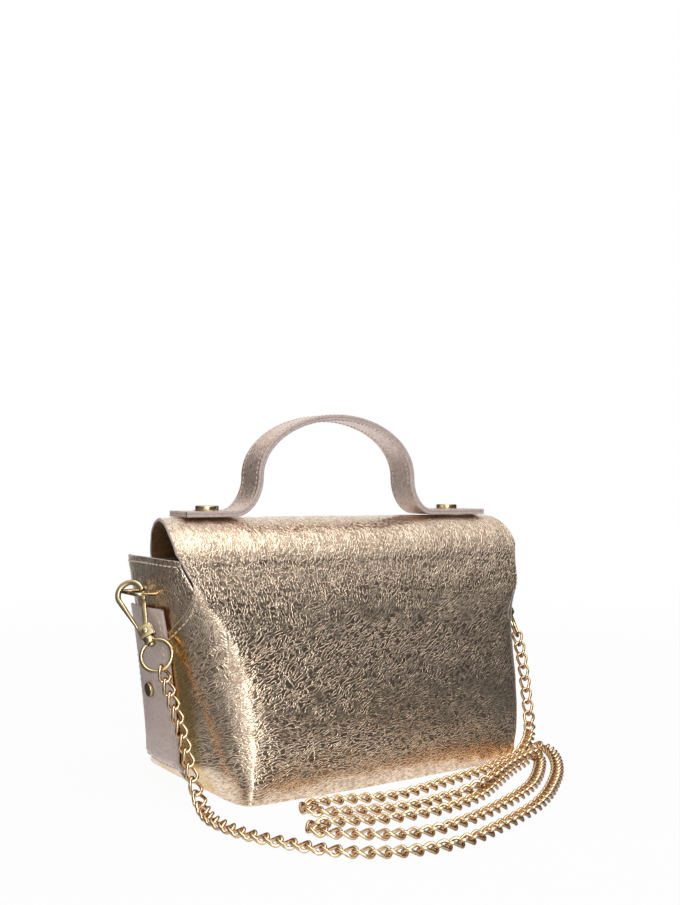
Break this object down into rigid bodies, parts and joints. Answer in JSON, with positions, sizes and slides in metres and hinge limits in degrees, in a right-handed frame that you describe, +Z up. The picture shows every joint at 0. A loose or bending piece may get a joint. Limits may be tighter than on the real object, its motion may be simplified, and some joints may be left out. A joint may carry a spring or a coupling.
{
  "type": "crossbody bag",
  "caption": "Structured leather bag with an arched flap, a standing top handle, side snap hooks and a long twisted chain strap lying in front.",
  "frame": {"origin": "middle of the flat base, on the surface that the bag stands on", "axes": "+X along the bag's length to the right seen from the closed back face, +Y from that face to the flap's front, +Z up"},
  "size_m": [0.2724, 0.2267, 0.201],
  "materials": {
    "foil_leather": "crinkled metallic foil",
    "pale_pink_leather": "smooth metallic",
    "board": "plain",
    "gold_metal": "polished pale gold",
    "chain_metal": "polished rose gold"
  },
  "bodies": {
    "bag": {"back_panel": "foil_leather", "front_panel": "foil_leather", "base_panel": "foil_leather", "base_board": "board", "gusset_left": "foil_leather", "gusset_right": "foil_leather", "side_strip_left": "pale_pink_leather", "side_strip_right": "pale_pink_leather", "side_studs": "gold_metal", "side_loop_left": "gold_metal", "side_loop_right": "gold_metal", "magnet_catch": "gold_metal", "chain_left": "chain_metal", "chain_pile": "chain_metal", "chain_right": "chain_metal"},
    "flap_and_handle": {"flap": "foil_leather", "magnet_flap": "gold_metal", "handle_strap": "foil_leather", "handle_lining": "pale_pink_leather", "handle_studs": "gold_metal"},
    "snap_hook_left": {"hook_left": "gold_metal", "gate_pin_left": "gold_metal", "gate_spring_left": "gold_metal", "swivel_stem_left": "gold_metal"},
    "snap_gate_left": {"gate_left": "gold_metal"},
    "swivel_ring_left": {"eye_ring_left": "gold_metal"},
    "snap_hook_right": {"hook_right": "gold_metal", "gate_pin_right": "gold_metal", "gate_spring_right": "gold_metal", "swivel_stem_right": "gold_metal"},
    "snap_gate_right": {"gate_right": "gold_metal"},
    "swivel_ring_right": {"eye_ring_right": "gold_metal"}
  },
  "joints": [
    {"name": "flap_hinge", "type": "hinge", "parent": "bag", "child": "flap_and_handle", "pos_m": [0, -0.033, 0.11815], "axis": [1, 0, 0], "range_deg": [0, 110]},
    {"name": "hook_swing_left", "type": "hinge", "parent": "bag", "child": "snap_hook_left", "pos_m": [-0.13021, 0.002, 0.103], "axis": [0, 1, 0], "range_deg": [0, 75]},
    {"name": "gate_opening_left", "type": "hinge", "parent": "snap_hook_left", "child": "snap_gate_left", "pos_m": [-0.12564, -0.01237, 0.08407], "axis": [-0.6527, -0.671, 0.3518], "range_deg": [0, 16], "stiffness_Nm_per_rad": 0.004, "springref_deg": -20.05},
    {"name": "ring_swivel_left", "type": "hinge", "parent": "snap_hook_left", "child": "swivel_ring_left", "pos_m": [-0.12452, -0.01647, 0.07832], "axis": [-0.1563, 0.5736, 0.8041], "range_deg": [-25, 0]},
    {"name": "hook_swing_right", "type": "hinge", "parent": "bag", "child": "snap_hook_right", "pos_m": [0.13021, 0.002, 0.103], "axis": [0, -1, 0], "range_deg": [0, 75]},
    {"name": "gate_opening_right", "type": "hinge", "parent": "snap_hook_right", "child": "snap_gate_right", "pos_m": [0.12564, -0.01237, 0.08407], "axis": [-0.6527, 0.671, -0.3518], "range_deg": [0, 16], "stiffness_Nm_per_rad": 0.004, "springref_deg": -20.05},
    {"name": "ring_swivel_right", "type": "hinge", "parent": "snap_hook_right", "child": "swivel_ring_right", "pos_m": [0.12452, -0.01647, 0.07832], "axis": [-0.1563, -0.5736, -0.8041], "range_deg": [-25, 0]}
  ]
}
